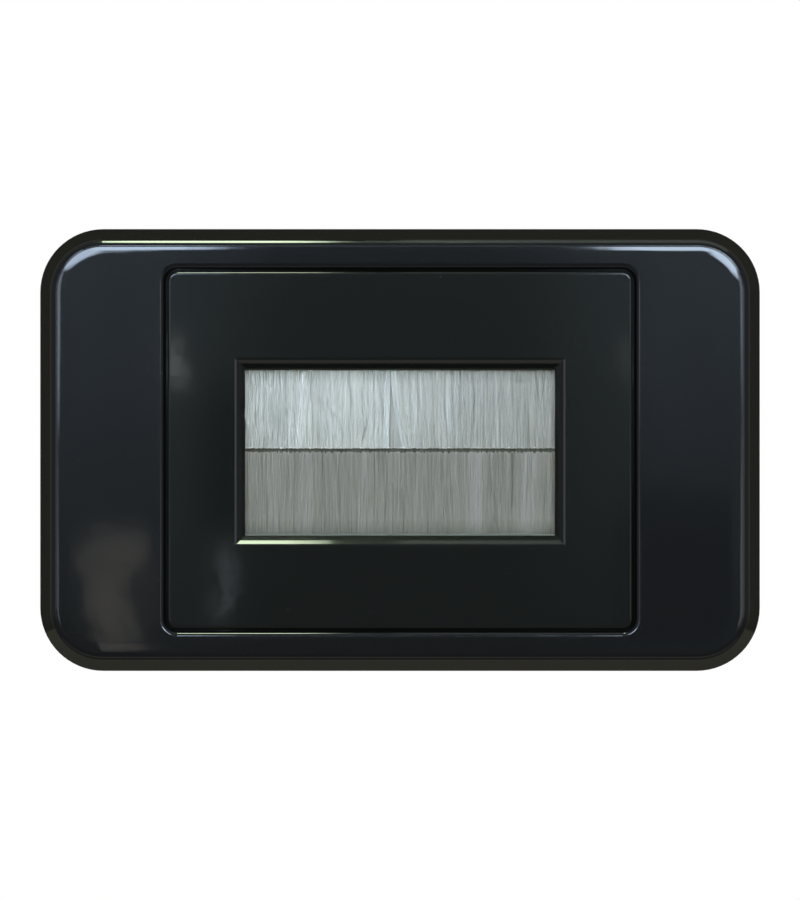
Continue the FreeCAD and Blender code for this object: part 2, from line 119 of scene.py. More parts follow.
class MouldingFinish(bpy.types.PropertyGroup):
    cover_colour: colour("Cover", "Pigment of the outer cover", "#0D0E10")
    panel_colour: colour("Panel", "Pigment of the grid plate and its raised panel", "#0C0E0D")
    bar_colour: colour("Clamp bars", "Pigment of the two clamp bars", "#151617")
    dust_colour: colour("Dust", "Household dust on the polished faces", "#9A978E")
    polish: share("Polish", "Roughness of the polished front", 0.03)
    satin: share("Satin", "Roughness of the core side of the mouldings", 0.42)
    peel: length("Peel", "Wave of the slight unevenness in the polished skin", 4.0)
    roll_off: length("Roll-off", "How far the cover's face falls away towards its rim", 0.15)
    grain: length("Spark grain", "Grain left by the spark-eroded tool", 0.35)


class BrushSizes(bpy.types.PropertyGroup):
    filament: length("Filament", "Diameter of one bristle", 0.10)
    count: bpy.props.IntProperty(
        name="Filaments", description="Bristles in each row", min=50, max=7600, default=7600
    )
    edge: length("End margin", "Bare length at each end of a row", 0.45)
    upper_sway: length("Upper sway", "Sideways lean of the upper bristles at their tips", 1.1)
    lower_sway: length("Lower sway", "Sideways lean of the lower bristles at their tips", 0.4)
    upper_bow: length("Upper bow", "How far wisps of the upper row stand forward or back", 0.16)
    lower_bow: length("Lower bow", "How far wisps of the lower row stand forward or back", 0.03)
    ragged: length("Ragged tips", "Differences in the length of the bristles", 0.28)
    cleft: length("Cleft", "Where the upper row parts, to the right of the middle", -1.55)
    cleft_open: length("Cleft opening", "How far the cleft pushes its right-hand bristles", 2.5)
    parting: length("Parting", "Where the lower row has its fine parting", 4.4)
    pale: colour("Pale nylon", "Lightest bristles", "#D2D8D4")
    middle: colour("Middle nylon", "Most of the bristles", "#B9BBAF")
    dark: colour("Dark nylon", "Darkest bristles", "#A3A59A")
    # painted shade: this colour darkens the roots in the strip's mouth and the ends behind the
    # split, where light doesn't reach
    root: colour("Roots", "Darkened nylon in the strip and behind the split", "#5C6454")
    # partly the real whitening of sheared nylon, partly a painted highlight on tips lit from above
    cut: colour("Cut ends", "Whitened nylon at the sheared tips", "#D0D2C8")


class MetalFinish(bpy.types.PropertyGroup):
    zinc: colour("Zinc plate", "Plated screws", "#B4B8BB")
    strip: colour("Rolled strip", "Galvanised steel of the crimped channels", "#6C6C60")
    drawn: colour("Drawn wire", "Core wires", "#8F9294")
    spangle: length("Bloom", "Size of the soft clouds in the plating", 1.6)
    thread: length("Thread pitch", "Rise of the screw thread in one turn", 0.8)
    dome: length("Dome", "How far the screw head rises above its edge", 0.55)


class StudioSettings(bpy.types.PropertyGroup):
    distance: length("Camera distance", "From the wall plane to the camera", 2000)
    view_tall: length("View height", "Height of the view at the wall plane", 142.6)
    drop: length("Floor drop", "How far the floor lies below the middle of the plate", 220)
    floor_colour: colour("Floor", "Pale matt floor", "#E9E8E4")
    sky: bpy.props.FloatProperty(
        name="Room light", description="Strength of the soft light all round", min=0.0, default=1.0
    )
    lamps: bpy.props.FloatProperty(
        name="Lamps", description="Strength of all lamps together", min=0.0, default=1.0
    )


# Small helpers


def add_node(tree, kind, links=None, **settings):
    """Adds a node and its settings, and fills its sockets with values, sockets or whole nodes."""
    made = tree.nodes.new(kind)
    for name, value in settings.items():
        setattr(made, name, value)
    for place, value in (links or {}).items():
        # a node stands for its first output
        if isinstance(value, bpy.types.Node):
            value = value.outputs[0]
        if isinstance(value, bpy.types.NodeSocket):
            tree.links.new(value, made.inputs[place])
        else:
            made.inputs[place].default_value = value
    return made


def new_material(name):
    """An empty material and its tree."""
    material = bpy.data.materials.new(name)
    material.use_nodes = True
    material.node_tree.nodes.clear()
    return material, material.node_tree


def node_group(name, ports):
    """An empty geometry tree with named inputs, and the identifier of each of them."""
    tree = bpy.data.node_groups.new(name, "GeometryNodeTree")
    tree.interface.new_socket("Geometry", in_out="INPUT", socket_type="NodeSocketGeometry")
    keys = {}
    for label, kind in ports.items():
        keys[label] = tree.interface.new_socket(label, in_out="INPUT", socket_type=kind).identifier
    tree.interface.new_socket("Geometry", in_out="OUTPUT", socket_type="NodeSocketGeometry")
    return tree, tree.nodes.new("NodeGroupInput").outputs, keys


def grown(name, tree, keys, values, start=None):
    """Runs a geometry tree once and keeps its result as a plain mesh."""
    piece = bpy.data.objects.new(name, start or bpy.data.meshes.new(name))
    bpy.context.scene.collection.objects.link(piece)
    maker = piece.modifiers.new("maker", "NODES")
    maker.node_group = tree
    for label, value in values.items():
        maker[keys[label]] = value
    graph = bpy.context.evaluated_depsgraph_get()
    mesh = bpy.data.meshes.new_from_object(
        piece.evaluated_get(graph), preserve_all_data_layers=True, depsgraph=graph
    )
    piece.modifiers.remove(maker)
    piece.data = mesh
    if not mesh.polygons:
        raise RuntimeError(f"{name} came out empty")
    return piece


def finish_node(name, material):
    """Gives a CAD node its finish."""
    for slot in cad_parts[name].material_slots:
        slot.material = material


# Materials


def polished_abs(name, pigment, finish, outline=None):
    """ABS from a polished tool: deep gloss, a faint peel in its reflections, hairlines and dust."""
    material, tree = new_material(name)
    place = add_node(tree, "ShaderNodeTexCoord").outputs["Object"]
    # the moulded skin is a few microns uneven, drawn a little stronger than it is
    peel = add_node(tree, NOISE, {"Vector": place, "Scale": 1 / finish.peel, "Detail": 1.5})
    uneven = {"Height": peel, "Strength": 0.12, "Distance": 0.04 * MM}
    if outline:
        # the face rolls off towards the rim over its last 2 mm, measured from the rounded outline
        half_wide, half_tall, corner = outline
        straight = (half_wide - corner, 1.0, half_tall - corner)
        folded = add_node(tree, VECTORS, {0: place}, operation="ABSOLUTE")
        past = add_node(tree, VECTORS, {0: folded, 1: straight}, operation="SUBTRACT")
        past = add_node(tree, VECTORS, {0: past, 1: (0, 0, 0)}, operation="MAXIMUM")
        out = add_node(tree, VECTORS, {0: past}, operation="LENGTH").outputs["Value"]
        roll = add_node(
            tree, RANGE, {0: out, 1: corner - ROLL_STARTS, 2: corner - ROLL_ENDS, 3: 0.0, 4: 1.0}
        )
        fall = add_node(tree, MATHS, {0: roll, 1: 2.0}, operation="POWER")
        fall = add_node(tree, MATHS, {0: fall, 1: -finish.roll_off}, operation="MULTIPLY")
        uneven["Normal"] = add_node(tree, BUMP, {"Height": fall, "Strength": 1.0, "Distance": 1.0})
    skin = add_node(tree, BUMP, uneven)
    # handling smears some 15 mm across, which dull the polish
    smear = add_node(
        tree, NOISE, {"Vector": place, "Scale": 1 / (15 * MM), "Detail": 3.0, "Distortion": 0.6}
    )
    dull = add_node(
        tree, RANGE, {0: smear, 1: 0.42, 2: 0.75, 3: finish.polish, 4: finish.polish + 0.03}
    )
    # wiping hairlines 0.15 mm wide and about 12 mm long
    long, wide = 1 / (12 * MM), 1 / (0.15 * MM)
    turned = add_node(
        tree,
        MAPPING,
        {"Vector": place, "Rotation": (0, math.radians(24), 0), "Scale": (long, long, wide)},
    )
    hair = add_node(tree, NOISE, {"Vector": turned, "Scale": 1.0, "Detail": 0.0})
    scratch = add_node(tree, RANGE, {0: hair, 1: 0.72, 2: 0.82, 3: 0.0, 4: 0.10})
    worn = add_node(tree, MATHS, {0: dull, 1: scratch}, operation="ADD")
    # the core side of the tool isn't polished
    facing = add_node(tree, "ShaderNodeNewGeometry").outputs["True Normal"]
    axes = add_node(tree, AXES, {0: facing})
    behind = add_node(tree, RANGE, {0: axes.outputs["Y"], 1: 0.2, 2: 0.5, 3: 0.0, 4: 1.0})
    rough = add_node(tree, MIX, {0: behind, 2: worn, 3: finish.satin}, data_type="FLOAT")
    # dust specks of 0.1 mm, a few millimetres apart
    specks = add_node(
        tree, "ShaderNodeTexVoronoi", {"Vector": place, "Scale": 1 / (2.2 * MM), "Randomness": 1.0}
    )
    size = add_node(tree, RANGE, {0: specks, 1: 0.02, 2: 0.045, 3: 1.0, 4: 0.0})
    few = add_node(tree, "ShaderNodeSeparateColor", {0: specks.outputs["Color"]})
    some = add_node(tree, RANGE, {0: few.outputs["Red"], 1: 0.6, 2: 1.0, 3: 0.0, 4: 0.3})
    dust = add_node(tree, MATHS, {0: size, 1: some}, operation="MULTIPLY")
    body = add_node(tree, MIX, {0: dust, 6: pigment, 7: finish.dust_colour}, data_type="RGBA")
    shader = add_node(
        tree,
        PRINCIPLED,
        {
            "Base Color": body.outputs[2],
            "Roughness": rough,
            "Normal": skin,
            "IOR": ABS_IOR,
            # the faint haze round highlights that every moulded polish has
            "Coat Weight": 0.2,
            "Coat Roughness": 0.25,
        },
    )
    add_node(tree, "ShaderNodeOutputMaterial", {"Surface": shader})
    return material


def satin_abs(name, pigment, finish):
    """ABS from a spark-eroded tool: an even fine grain that spreads reflections to a soft sheen."""
    material, tree = new_material(name)
    place = add_node(tree, "ShaderNodeTexCoord").outputs["Object"]
    # real grain is under 0.1 mm, drawn coarser so that it shows
    grain = add_node(
        tree,
        "ShaderNodeTexVoronoi",
        {"Vector": place, "Scale": 1 / finish.grain},
        feature="SMOOTH_F1",
    )
    bump = add_node(tree, BUMP, {"Height": grain, "Strength": 0.35, "Distance": 0.06 * MM})
    # flow marks some 9 mm across
    flow = add_node(tree, NOISE, {"Vector": place, "Scale": 1 / (9 * MM), "Detail": 3.0})
    rough = add_node(
        tree, RANGE, {0: flow, 1: 0.3, 2: 0.7, 3: finish.satin - 0.06, 4: finish.satin + 0.1}
    )
    shader = add_node(
        tree,
        PRINCIPLED,
        {"Base Color": pigment, "Roughness": rough, "Normal": bump, "IOR": ABS_IOR},
    )
    add_node(tree, "ShaderNodeOutputMaterial", {"Surface": shader})
    return material


def zinc_plate(name, tint, finish):
    """Bright zinc-plated steel: a cool grey metal with a soft cloudy bloom and fine marks."""
    material, tree = new_material(name)
    place = add_node(tree, "ShaderNodeTexCoord").outputs["Object"]
    cloud = add_node(tree, NOISE, {"Vector": place, "Scale": 1 / finish.spangle, "Detail": 4.0})
    rough = add_node(tree, RANGE, {0: cloud, 1: 0.3, 2: 0.7, 3: 0.26, 4: 0.44})
    shade = [channel * 0.72 for channel in tint[:3]] + [1.0]
    bloom = add_node(tree, MIX, {0: cloud, 6: shade, 7: tint}, data_type="RGBA").outputs[2]
    bump = add_node(tree, BUMP, {"Height": cloud, "Strength": 0.15, "Distance": 0.03 * MM})
    shader = add_node(
        tree, PRINCIPLED, {"Base Color": bloom, "Roughness": rough, "Normal": bump, "Metallic": 1.0}
    )
    add_node(tree, "ShaderNodeOutputMaterial", {"Surface": shader})
    return material


def drawn_wire(name, tint):
    """Hard-drawn steel wire: dull metal with streaks along its run from the die."""
    material, tree = new_material(name)
    place = add_node(tree, "ShaderNodeTexCoord").outputs["Object"]
    # die marks 0.1 mm apart, drawn out to 8 mm along the wire
    apart, along = 1 / (0.1 * MM), 1 / (8 * MM)
    drawn = add_node(tree, MAPPING, {"Vector": place, "Scale": (along, apart, apart)})
    streak = add_node(tree, NOISE, {"Vector": drawn, "Scale": 1.0, "Detail": 2.0})
    rough = add_node(tree, RANGE, {0: streak, 1: 0.3, 2: 0.7, 3: 0.3, 4: 0.5})
    shader = add_node(tree, PRINCIPLED, {"Base Color": tint, "Roughness": rough, "Metallic": 1.0})
    add_node(tree, "ShaderNodeOutputMaterial", {"Surface": shader})
    return material


def nylon_bristle(name, sizes):
    """Extruded nylon filament: glossy grey threads, no two quite alike, that shine in streaks."""
    material, tree = new_material(name)
    tone, along, painted_shade = (
        add_node(tree, "ShaderNodeAttribute", attribute_name=mark).outputs["Fac"]
        for mark in ("tone", "along", "painted_shade")
    )
    ramp = add_node(tree, "ShaderNodeValToRGB", {0: tone})
    ramp.color_ramp.elements[0].color = sizes.dark
    ramp.color_ramp.elements[1].color = sizes.pale
    ramp.color_ramp.elements.new(0.5).color = sizes.middle
    # shearing whitens the last third of a millimetre, and the same pale mix also paints the
    # highlight of tips lit from above
    end = add_node(tree, RANGE, {0: along, 1: 0.975, 2: 1.0, 3: 0.0, 4: 0.35})
    nylon = add_node(tree, MIX, {0: end, 6: ramp, 7: sizes.cut}, data_type="RGBA").outputs[2]
    # painted shade: darker at the roots, in the mouth of the strip, and on the ends behind the
    # split, where the light doesn't reach
    nylon = add_node(tree, MIX, {0: painted_shade, 6: nylon, 7: sizes.root}, data_type="RGBA").outputs[2]
    # the extruded skin changes a little every 5 mm along a filament, and from each pair to the next
    place = add_node(tree, "ShaderNodeTexCoord").outputs["Object"]
    pair, run = 1 / (0.2 * MM), 1 / (5 * MM)
    drawn = add_node(tree, MAPPING, {"Vector": place, "Scale": (pair, pair, run)})
    skin = add_node(tree, NOISE, {"Vector": drawn, "Scale": 1.0, "Detail": 1.0})
    rough = add_node(tree, RANGE, {0: skin, 1: 0.3, 2: 0.7, 3: 0.22, 4: 0.4})
    # a clear thread also returns light from its far wall, which the coat stands for
    coat, gloss = 0.6, 0.5
    # the painted shade dulls both, so that the shaded places don't gleam
    coat, gloss = (
        add_node(tree, MATHS, {0: painted_shade, 1: -clean, 2: clean}, operation="MULTIPLY_ADD")
        for clean in (coat, gloss)
    )
    shader = add_node(
        tree,
        PRINCIPLED,
        {
            "Base Color": nylon,
            "Roughness": rough,
            "IOR": NYLON_IOR,
            "Specular IOR Level": gloss,
            "Coat Weight": coat,
            "Coat Roughness": 0.25,
            # light that enters a thread comes out of its neighbours
            "Subsurface Weight": 0.85,
            "Subsurface Radius": (1.0, 1.0, 1.0),
            "Subsurface Scale": 0.8 * MM,
        },
    )
    add_node(tree, "ShaderNodeOutputMaterial", {"Surface": shader})
    return material


def matt_floor(name, tint):
    """Matt painted board: pale, even, with a barely visible roller texture."""
    material, tree = new_material(name)
    place = add_node(tree, "ShaderNodeTexCoord").outputs["Object"]
    roller = add_node(tree, NOISE, {"Vector": place, "Scale": 1 / (4 * MM), "Detail": 2.0})
    bump = add_node(tree, BUMP, {"Height": roller, "Strength": 0.1, "Distance": 0.2 * MM})
    shader = add_node(tree, PRINCIPLED, {"Base Color": tint, "Roughness": 0.8, "Normal": bump})
    add_node(tree, "ShaderNodeOutputMaterial", {"Surface": shader})
    return material


def shaded_card(name, dim, pale, shapes):
    """Lit card: dim in the middle, paler at the sides and top, with the soft shapes of a room."""
    material, tree = new_material(name)
    # millimetres on the plate where the card shows
    shown = add_node(tree, "ShaderNodeUVMap", uv_map="shown").outputs["UV"]
    axes = add_node(tree, AXES, {0: shown}).outputs
    out = add_node(tree, MATHS, {0: axes["X"]}, operation="ABSOLUTE")
    side = add_node(
        tree, RANGE, {0: out, 1: 14.0, 2: 42.0, 3: 0.0, 4: 1.0}, interpolation_type="SMOOTHSTEP"
    )
    rise = add_node(tree, RANGE, {0: axes["Y"], 1: -32.0, 2: 30.0, 3: 0.1, 4: 1.0})
    lift = add_node(tree, MATHS, {0: side, 1: rise}, operation="MULTIPLY")
    # soft clouds some 8 mm wide and 22 mm tall
    tall = add_node(tree, MAPPING, {"Vector": shown, "Scale": (1 / 8, 1 / 22, 1)})
    cloud = add_node(tree, NOISE, {"Vector": tall, "Scale": 1.0, "Detail": 3.0})
    cloud = add_node(tree, RANGE, {0: cloud, 1: 0.3, 2: 0.7, 3: 0.72, 4: 1.2})
    lift = add_node(tree, MATHS, {0: lift, 1: cloud}, operation="MULTIPLY")
    ends = {6: linear(dim), 7: linear(pale)}
    body = add_node(tree, MIX, {0: lift} | ends, data_type="RGBA").outputs[2]
    # wavering edges for the shapes, some 9 mm from wave to wave and more of it further out
    waver = add_node(tree, NOISE, {"Vector": shown, "Scale": 1 / 9, "Detail": 2.0}).outputs["Color"]
    pull = add_node(
        tree, VECTORS, {0: waver, 1: (0.2, 0.2, 0.0), 2: (0.9, 0.9, 0.0)}, operation="MULTIPLY_ADD"
    )
    bent = add_node(tree, VECTORS, {0: shown, 1: pull}, operation="MULTIPLY")
    # each shape: middle, half size, turn in degrees, colour and brightness
    for middle, half, turn, code, bright in shapes:
        local = add_node(
            tree,
            MAPPING,
            {
                "Vector": bent,
                "Location": (*middle, 0),
                "Rotation": (0, 0, math.radians(turn)),
                "Scale": (*half, 1),
            },
            vector_type="TEXTURE",
        )
        # fourth powers make a rectangle with round corners
        second = add_node(tree, VECTORS, {0: local, 1: local}, operation="MULTIPLY")
        fourth = add_node(tree, VECTORS, {0: second, 1: second}, operation="DOT_PRODUCT")
        # what is lit has firmer edges than what isn't
        firm = 0.25 if bright > 1.0 else 0.02
        seen = add_node(tree, RANGE, {0: fourth.outputs["Value"], 1: 1.0, 2: firm, 3: 0.0, 4: 1.0})
        tint = [channel * bright for channel in linear(code)]
        body = add_node(tree, MIX, {0: seen, 6: body, 7: tint}, data_type="RGBA").outputs[2]
    shader = add_node(tree, "ShaderNodeEmission", {"Color": body, "Strength": 1.0})
    add_node(tree, "ShaderNodeOutputMaterial", {"Surface": shader})
    return material


# Geometry trees


def bristle_tree():
    """One row of filaments: rooted through the strip's depth, combed, parted, and cut ragged."""
    # a filament's points and sides, how far its root strays, and the step to its second chances
    points_along, sides_round, root_stray, seed_step = 5, 3, 0.03 * MM, 7.0
    # its own share in its stray and in the ragged trim
    own_stray, own_trim = 0.4, 0.3
    # powers of the way along: how late the cleft opens, and how early the lean is done
    cleft_curve, lean_curve = 1.6, 3.0
    measures = (
        *("Filament", "Width", "Depth", "Middle", "Root", "Tip", "Overlap", "Ragged", "Lean"),
        *("Sway", "Bow", "Wisp", "Band", "Cleft", "Cleft right", "Cleft left", "Cleft reach"),
        *("Cleft shade", "Parting", "Parting open"),
    )
    ports = {"Material": "NodeSocketMaterial", "Count": "NodeSocketInt", "Seed": "NodeSocketInt"}
    tree, given, keys = node_group("bristle_row", ports | dict.fromkeys(measures, FLOAT))
    line = add_node(tree, "GeometryNodeCurvePrimitiveLine")
    points = add_node(tree, "GeometryNodeResampleCurve", {"Curve": line, "Count": points_along})
    copies = add_node(
        tree,
        "GeometryNodeDuplicateElements",
        {"Geometry": points, "Amount": given["Count"]},
        domain="SPLINE",
    )
    which = copies.outputs["Duplicate Index"]
    along = add_node(tree, "GeometryNodeSplineParameter").outputs["Factor"]
    later = add_node(tree, MATHS, {0: given["Seed"], 1: seed_step}, operation="ADD")

    # where each filament is rooted, how long it is, and how it strays
    chance = add_node(tree, RANDOM, {"ID": which, "Seed": given["Seed"]}, data_type="FLOAT_VECTOR")
    rooted = add_node(tree, AXES, {0: chance}).outputs
    drift = add_node(
        tree,
        RANDOM,
        {0: (-1, -1, -1), 1: (1, 1, 1), "ID": which, "Seed": later},
        data_type="FLOAT_VECTOR",
    )
    stray = add_node(tree, AXES, {0: drift}).outputs
    golden = add_node(tree, MATHS, {0: which, 1: GOLDEN}, operation="MULTIPLY")
    depth = add_node(tree, MATHS, {0: golden}, operation="FRACT")
    spaced = add_node(tree, MATHS, {0: which, 1: rooted["X"]}, operation="ADD")
    spaced = add_node(tree, MATHS, {0: spaced, 1: given["Count"]}, operation="DIVIDE")
    centred = add_node(tree, MATHS, {0: spaced, 1: 0.5}, operation="SUBTRACT")
    across = add_node(tree, MATHS, {0: centred, 1: given["Width"]}, operation="MULTIPLY")
    across = add_node(
        tree, MATHS, {0: stray["Y"], 1: root_stray, 2: across}, operation="MULTIPLY_ADD"
    )
    # filaments in the layers behind stay straight, so that no light comes through
    front = add_node(tree, MATHS, {0: depth, 1: LOOSE_LAYERS}, operation="LESS_THAN")

    # slow changes along the row, which neighbours share, by the length of their waves
    shared = {}
    for name, wave in (("comb", 4.5), ("bow", 1.5), ("wisp", 0.7)):
        along_row = add_node(
            tree, MATHS, {0: across, 1: 1 / (wave * MM), 2: given["Seed"]}, operation="MULTIPLY_ADD"
        )
        noise = add_node(
            tree, NOISE, {"W": along_row, "Scale": 1.0, "Detail": 1.0}, noise_dimensions="1D"
        )
        shared[name] = add_node(
            tree, RANGE, {0: noise, 1: 0.25, 2: 0.75, 3: -1.0, 4: 1.0}, clamp=False
        )

    # the cleft pushes filaments aside at their tips, most of all next to it
    off = add_node(tree, MATHS, {0: across, 1: given["Cleft"]}, operation="SUBTRACT")
    right = add_node(tree, MATHS, {0: off, 1: 0.0}, operation="GREATER_THAN")
    sides = {2: given["Cleft left"], 3: given["Cleft right"]}
    push = add_node(tree, MIX, {0: right} | sides, data_type="FLOAT")
    far = add_node(tree, MATHS, {0: off}, operation="ABSOLUTE")
    far = add_node(tree, MATHS, {0: far, 1: given["Cleft reach"]}, operation="DIVIDE")
    far = add_node(tree, MATHS, {0: far, 1: -1.0}, operation="MULTIPLY")
    fade = add_node(tree, MATHS, {0: far}, operation="EXPONENT")
    cleft = add_node(tree, MATHS, {0: push, 1: fade}, operation="MULTIPLY")
    cleft = add_node(tree, MATHS, {0: cleft, 1: front}, operation="MULTIPLY")

    # the parting is a fine line from root to tip, which fades within 0.6 mm
    near = add_node(tree, MATHS, {0: across, 1: given["Parting"]}, operation="SUBTRACT")
    side = add_node(tree, MATHS, {0: near}, operation="SIGN")
    near = add_node(tree, MATHS, {0: near}, operation="ABSOLUTE")
    near = add_node(tree, MATHS, {0: near, 1: -1 / (0.6 * MM)}, operation="MULTIPLY")
    near = add_node(tree, MATHS, {0: near}, operation="EXPONENT")
    near = add_node(tree, MATHS, {0: near, 1: side}, operation="MULTIPLY")
    near = add_node(tree, MATHS, {0: near, 1: front}, operation="MULTIPLY")
    parted = add_node(
        tree, MATHS, {0: near, 1: given["Parting open"], 2: across}, operation="MULTIPLY_ADD"
    )

    # sideways place: root, comb, stray and cleft, growing towards the tip
    room = add_node(tree, MATHS, {0: given["Sway"], 1: front}, operation="MULTIPLY")
    combed = add_node(tree, MATHS, {0: shared["comb"], 1: room}, operation="MULTIPLY")
    loose = add_node(tree, MATHS, {0: room, 1: own_stray}, operation="MULTIPLY")
    swept = add_node(tree, MATHS, {0: stray["X"], 1: loose, 2: combed}, operation="MULTIPLY_ADD")
    bent_over = add_node(tree, MATHS, {0: swept, 1: parted}, operation="ADD")
    curved = add_node(tree, MATHS, {0: along, 1: cleft_curve}, operation="POWER")
    swept = add_node(tree, MATHS, {0: swept, 1: along, 2: parted}, operation="MULTIPLY_ADD")
    x = add_node(tree, MATHS, {0: cleft, 1: curved, 2: swept}, operation="MULTIPLY_ADD")

    # depth: through the strip's mouth, leaning to the front, with a slight bow
    layer = add_node(tree, MATHS, {0: depth, 1: 0.5}, operation="SUBTRACT")
    layer = add_node(
        tree, MATHS, {0: layer, 1: given["Depth"], 2: given["Middle"]}, operation="MULTIPLY_ADD"
    )
    left = add_node(tree, MATHS, {0: 1.0, 1: along}, operation="SUBTRACT")
    left = add_node(tree, MATHS, {0: left, 1: lean_curve}, operation="POWER")
    risen = add_node(tree, MATHS, {0: 1.0, 1: left}, operation="SUBTRACT")
    lean = add_node(tree, MATHS, {0: risen, 1: given["Lean"], 2: layer}, operation="MULTIPLY_ADD")
    wave = add_node(tree, MATHS, {0: along, 1: math.pi}, operation="MULTIPLY")
    wave = add_node(tree, MATHS, {0: wave}, operation="SINE")
    bow = add_node(
        tree, MATHS, {0: stray["Y"], 1: own_stray, 2: shared["bow"]}, operation="MULTIPLY_ADD"
    )
    bow = add_node(tree, MATHS, {0: bow, 1: given["Bow"]}, operation="MULTIPLY")
    y = add_node(tree, MATHS, {0: wave, 1: bow, 2: lean}, operation="MULTIPLY_ADD")

    # height: from the root to a ragged tip, trimmed in steps of some 0.5 mm
    tip_x = add_node(tree, MATHS, {0: bent_over, 1: cleft}, operation="ADD")
    tip_x = add_node(tree, MATHS, {0: tip_x, 1: 1 / (0.5 * MM)}, operation="MULTIPLY")
    trim = add_node(tree, NOISE, {"W": tip_x, "Scale": 1.0, "Detail": 1.0}, noise_dimensions="1D")
    uneven = add_node(tree, RANGE, {0: trim, 1: 0.44, 2: 0.64, 3: 0.25, 4: 1.0})
    short = add_node(
        tree, MATHS, {0: rooted["Z"], 1: own_trim, 2: uneven}, operation="MULTIPLY_ADD"
    )
    tip = add_node(
        tree, MATHS, {0: short, 1: given["Ragged"], 2: given["Tip"]}, operation="MULTIPLY_ADD"
    )
    # the layers behind reach past the middle
    hidden = add_node(tree, MATHS, {0: depth, 1: FRONT_LAYERS}, operation="GREATER_THAN")
    tip = add_node(tree, MATHS, {0: hidden, 1: given["Overlap"], 2: tip}, operation="MULTIPLY_ADD")
    z = add_node(tree, MIX, {0: along, 2: given["Root"], 3: tip}, data_type="FLOAT")
    spot = add_node(tree, "ShaderNodeCombineXYZ", {"X": x, "Y": y, "Z": z})
    kept = add_node(tree, "GeometryNodeSetPosition", {"Geometry": copies, "Position": spot})

    # shade of each filament: partly its own, partly its wisp's
    mixed = add_node(tree, MATHS, {0: given["Wisp"], 1: 0.2, 2: 0.04}, operation="MULTIPLY_ADD")
    tone = add_node(tree, MATHS, {0: stray["Z"], 1: mixed, 2: 0.5}, operation="MULTIPLY_ADD")
    for name, port in (("wisp", "Wisp"), ("comb", "Band")):
        tone = add_node(
            tree, MATHS, {0: shared[name], 1: given[port], 2: tone}, operation="MULTIPLY_ADD"
        )
    # inside the cleft the threads behind lie in shade, and those pushed aside catch the light
    narrow = add_node(tree, MATHS, {0: far, 1: 4.0}, operation="MULTIPLY")
    narrow = add_node(tree, MATHS, {0: narrow}, operation="EXPONENT")
    sign = add_node(tree, MIX, {0: front, 2: -1.2, 3: 0.25}, data_type="FLOAT")
    shade = add_node(tree, MATHS, {0: narrow, 1: sign}, operation="MULTIPLY")
    shade = add_node(
        tree, MATHS, {0: shade, 1: given["Cleft shade"], 2: tone}, operation="MULTIPLY_ADD"
    )
    # painted shade: at the roots, and on the ends that reach past the split
    root_shade = add_node(tree, RANGE, {0: along, 1: 0.07, 2: 0.15, 3: 0.75, 4: 0.0})
    past = add_node(tree, RANGE, {0: along, 1: 0.88, 2: 0.92, 3: 0.0, 4: 0.95})
    painted_shade = add_node(tree, MATHS, {0: past, 1: hidden, 2: root_shade}, operation="MULTIPLY_ADD")
    for name, value in (("tone", shade), ("along", along), ("painted_shade", painted_shade)):
        kept = add_node(
            tree,
            "GeometryNodeStoreNamedAttribute",
            {"Geometry": kept, "Name": name, "Value": value},
            data_type="FLOAT",
            domain="POINT",
        )
    thin = add_node(tree, MATHS, {0: given["Filament"], 1: 0.5}, operation="MULTIPLY")
    ring = add_node(
        tree, "GeometryNodeCurvePrimitiveCircle", {"Resolution": sides_round, "Radius": thin}
    )
    solid = add_node(
        tree, "GeometryNodeCurveToMesh", {"Curve": kept, "Profile Curve": ring, "Fill Caps": True}
    )
    smooth = add_node(tree, "GeometryNodeSetShadeSmooth", {"Geometry": solid})
    return clad(tree, smooth, given), keys


def clad(tree, shape, given):
    """The tree, with its shape made real and given its material at the end."""
    real = add_node(tree, "GeometryNodeRealizeInstances", {"Geometry": shape})
    skin = {"Geometry": real, "Material": given["Material"]}
    add_node(tree, "NodeGroupOutput", {0: add_node(tree, "GeometryNodeSetMaterial", skin)})
    return tree


def screw_tree():
    """Four copies of one screw at the corners of a rectangle, each turned as it was left."""
    tree, given, keys = node_group(
        "screw_set",
        {"Material": "NodeSocketMaterial", "Wide": FLOAT, "Tall": FLOAT}
        | {"Middle": "NodeSocketVector", "Seed": "NodeSocketInt"},
    )
    grid = add_node(
        tree,
        "GeometryNodeMeshGrid",
        {"Size X": given["Wide"], "Size Y": given["Tall"], "Vertices X": 2, "Vertices Y": 2},
    )
    stood = {"Translation": given["Middle"], "Rotation": (math.radians(90), 0, 0)}
    upright = add_node(tree, "GeometryNodeTransform", {"Geometry": grid} | stood)
    turn = add_node(
        tree,
        RANDOM,
        {0: (0, 0, 0), 1: (0, math.pi, 0), "Seed": given["Seed"]},
        data_type="FLOAT_VECTOR",
    )
    placed = add_node(
        tree,
        "GeometryNodeInstanceOnPoints",
        {"Points": upright, "Instance": given["Geometry"], "Rotation": turn},
    )
    return clad(tree, placed, given), keys


